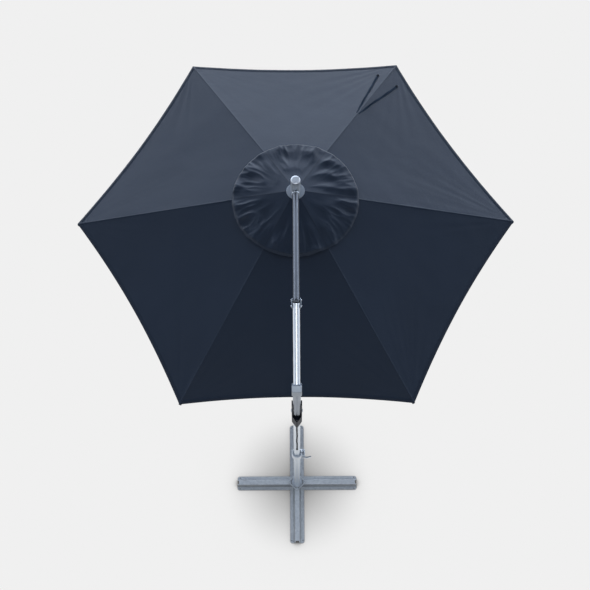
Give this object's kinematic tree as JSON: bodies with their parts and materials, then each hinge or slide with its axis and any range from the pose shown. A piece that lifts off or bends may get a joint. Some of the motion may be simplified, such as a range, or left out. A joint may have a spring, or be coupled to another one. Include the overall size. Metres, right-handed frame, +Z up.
{
  "type": "cantilever parasol",
  "caption": "Free-standing cantilever parasol: cross base, turning mast, jointed arm and a folding six-sided fabric canopy with a round vent cap.",
  "frame": {"origin": "on the ground under the mast's axis, at the underside of the base's backing bar", "axes": "+Z up, +Y from the mast towards the canopy, +X to the right when facing +Y"},
  "size_m": [3, 3.1298, 2.7297],
  "materials": {
    "galvanised": "satin",
    "plated": "satin",
    "steel_tube": "satin",
    "arm_grey": "matte",
    "arm_bright": "polished",
    "black_plastic": "satin",
    "black_cord": "matte",
    "rib_metal": "satin",
    "cover": "matte",
    "webbing": "matte"
  },
  "bodies": {
    "base": {"cross_beam_long": "galvanised", "cross_beam_back": "galvanised", "cross_beam_front": "galvanised", "backing_bar": "galvanised", "foot_plate": "galvanised", "foot_bolts": "plated", "foot_flare": "plated", "stand_pipe": "steel_tube", "clamp_collar": "plated", "clamp_bolt": "plated"},
    "clamp_knob_body": {"clamp_knob": "plated"},
    "clamp_lever_body": {"clamp_lever": "plated"},
    "mast": {"mast_tube": "steel_tube", "housing_left": "black_plastic", "housing_right": "black_plastic", "housing_screws": "plated", "tilt_bolt": "plated"},
    "latch_body": {"latch": "black_plastic", "release_cord": "black_cord", "cord_knot": "black_cord"},
    "lower_arm": {"arm_foot": "arm_grey", "arm_foot_plug": "black_plastic", "bend_block": "arm_grey", "lower_arm_tube": "arm_bright", "elbow_cheek_left": "plated", "elbow_cheek_right": "plated", "elbow_bolts": "plated", "elbow_plug": "black_plastic"},
    "upper_arm": {"upper_arm_tube": "arm_grey", "elbow_insert": "arm_grey", "arm_eye": "arm_grey"},
    "hub": {"hub_post": "arm_grey", "post_cap": "arm_bright", "hub_pin": "arm_grey", "hub_flange": "arm_grey", "crown": "black_plastic", "canopy_pole": "arm_grey", "pole_knob": "black_plastic"},
    "runner_body": {"runner": "black_plastic"},
    "button_body": {"runner_button": "black_plastic"},
    "rib_1_body": {"rib_1": "rib_metal", "canopy_panel_1": "cover"},
    "strut_1_body": {"strut_1": "rib_metal"},
    "rib_2_body": {"rib_2": "rib_metal", "canopy_panel_2": "cover", "tie_strap": "webbing", "strap_eyelets": "black_plastic"},
    "strut_2_body": {"strut_2": "rib_metal"},
    "rib_3_body": {"rib_3": "rib_metal", "canopy_panel_3": "cover"},
    "strut_3_body": {"strut_3": "rib_metal"},
    "rib_4_body": {"rib_4": "rib_metal", "canopy_panel_4": "cover"},
    "strut_4_body": {"strut_4": "rib_metal"},
    "rib_5_body": {"rib_5": "rib_metal", "canopy_panel_5": "cover"},
    "strut_5_body": {"strut_5": "rib_metal"},
    "rib_6_body": {"rib_6": "rib_metal", "canopy_panel_6": "cover"},
    "strut_6_body": {"strut_6": "rib_metal"}
  },
  "joints": [
    {"name": "mast_turn", "type": "hinge", "parent": "base", "child": "mast", "pos_m": [0, 0, 0.9], "axis": [0, 0, 1], "continuous": true},
    {"name": "knob_turn", "type": "hinge", "parent": "base", "child": "clamp_knob_body", "pos_m": [0.045, 0.028, 0.908], "axis": [0, 1, 0], "continuous": true},
    {"name": "lever_swing", "type": "hinge", "parent": "base", "child": "clamp_lever_body", "pos_m": [0.045, -0.024, 0.908], "axis": [0, 0, -1], "range_deg": [0, 95]},
    {"name": "latch_slide", "type": "slide", "parent": "mast", "child": "latch_body", "axis": [0, 0, -1], "range_m": [0, 0.008], "stiffness_N_per_m": 600, "springref_m": -0.002},
    {"name": "arm_tilt", "type": "hinge", "parent": "mast", "child": "lower_arm", "pos_m": [0, 0, 1.975], "axis": [1, 0, 0], "range_deg": [0, 30]},
    {"name": "elbow_fold", "type": "hinge", "parent": "lower_arm", "child": "upper_arm", "pos_m": [0, 0.44759, 2.70428], "axis": [1, 0, 0], "range_deg": [0, 18]},
    {"name": "canopy_tilt", "type": "hinge", "parent": "upper_arm", "child": "hub", "pos_m": [0, 1.35, 2.436], "axis": [-1, 0, 0], "range_deg": [0, 8]},
    {"name": "rib_1_fold", "type": "hinge", "parent": "hub", "child": "rib_1_body", "pos_m": [0.046, 1.35, 2.3807], "axis": [0, 1, 0], "range_deg": [0, 70], "deforming": ["canopy_panel_1"]},
    {"name": "strut_1_turn", "type": "hinge", "parent": "rib_1_body", "child": "strut_1_body", "pos_m": [0.48084, 1.35, 2.22963], "axis": [0, 1, 0], "range_deg": [-140, 0]},
    {"name": "rib_2_fold", "type": "hinge", "parent": "hub", "child": "rib_2_body", "pos_m": [0.023, 1.38984, 2.3807], "axis": [-0.866, 0.5, 0], "range_deg": [0, 70], "deforming": ["canopy_panel_2", "tie_strap", "strap_eyelets"]},
    {"name": "strut_2_turn", "type": "hinge", "parent": "rib_2_body", "child": "strut_2_body", "pos_m": [0.24042, 1.76642, 2.22963], "axis": [-0.866, 0.5, 0], "range_deg": [-140, 0]},
    {"name": "rib_3_fold", "type": "hinge", "parent": "hub", "child": "rib_3_body", "pos_m": [-0.023, 1.38984, 2.3807], "axis": [-0.866, -0.5, 0], "range_deg": [0, 70], "deforming": ["canopy_panel_3"]},
    {"name": "strut_3_turn", "type": "hinge", "parent": "rib_3_body", "child": "strut_3_body", "pos_m": [-0.24042, 1.76642, 2.22963], "axis": [-0.866, -0.5, 0], "range_deg": [-140, 0]},
    {"name": "rib_4_fold", "type": "hinge", "parent": "hub", "child": "rib_4_body", "pos_m": [-0.046, 1.35, 2.3807], "axis": [0, -1, 0], "range_deg": [0, 70], "deforming": ["canopy_panel_4"]},
    {"name": "strut_4_turn", "type": "hinge", "parent": "rib_4_body", "child": "strut_4_body", "pos_m": [-0.48084, 1.35, 2.22963], "axis": [0, -1, 0], "range_deg": [-140, 0]},
    {"name": "rib_5_fold", "type": "hinge", "parent": "hub", "child": "rib_5_body", "pos_m": [-0.023, 1.31016, 2.3807], "axis": [0.866, -0.5, 0], "range_deg": [0, 70], "deforming": ["canopy_panel_5"]},
    {"name": "strut_5_turn", "type": "hinge", "parent": "rib_5_body", "child": "strut_5_body", "pos_m": [-0.24042, 0.93358, 2.22963], "axis": [0.866, -0.5, 0], "range_deg": [-140, 0]},
    {"name": "rib_6_fold", "type": "hinge", "parent": "hub", "child": "rib_6_body", "pos_m": [0.023, 1.31016, 2.3807], "axis": [0.866, 0.5, 0], "range_deg": [0, 70], "deforming": ["canopy_panel_6"]},
    {"name": "strut_6_turn", "type": "hinge", "parent": "rib_6_body", "child": "strut_6_body", "pos_m": [0.24042, 0.93358, 2.22963], "axis": [0.866, 0.5, 0], "range_deg": [-140, 0]},
    {"name": "runner_lift", "type": "hinge", "parent": "strut_1_body", "child": "runner_body", "pos_m": [0.046, 1.35, 2.07856], "axis": [0, 1, 0], "range_deg": [0, 70]},
    {"name": "button_press", "type": "slide", "parent": "runner_body", "child": "button_body", "axis": [0, 1, 0], "range_m": [0, 0.003], "stiffness_N_per_m": 400}
  ],
  "couplings": [
    {"joint": "strut_1_turn", "follows": "rib_1_fold", "ratio": -2},
    {"joint": "rib_2_fold", "follows": "rib_1_fold", "ratio": 1},
    {"joint": "strut_2_turn", "follows": "rib_1_fold", "ratio": -2},
    {"joint": "rib_3_fold", "follows": "rib_1_fold", "ratio": 1},
    {"joint": "strut_3_turn", "follows": "rib_1_fold", "ratio": -2},
    {"joint": "rib_4_fold", "follows": "rib_1_fold", "ratio": 1},
    {"joint": "strut_4_turn", "follows": "rib_1_fold", "ratio": -2},
    {"joint": "rib_5_fold", "follows": "rib_1_fold", "ratio": 1},
    {"joint": "strut_5_turn", "follows": "rib_1_fold", "ratio": -2},
    {"joint": "rib_6_fold", "follows": "rib_1_fold", "ratio": 1},
    {"joint": "strut_6_turn", "follows": "rib_1_fold", "ratio": -2},
    {"joint": "runner_lift", "follows": "rib_1_fold", "ratio": 1}
  ]
}
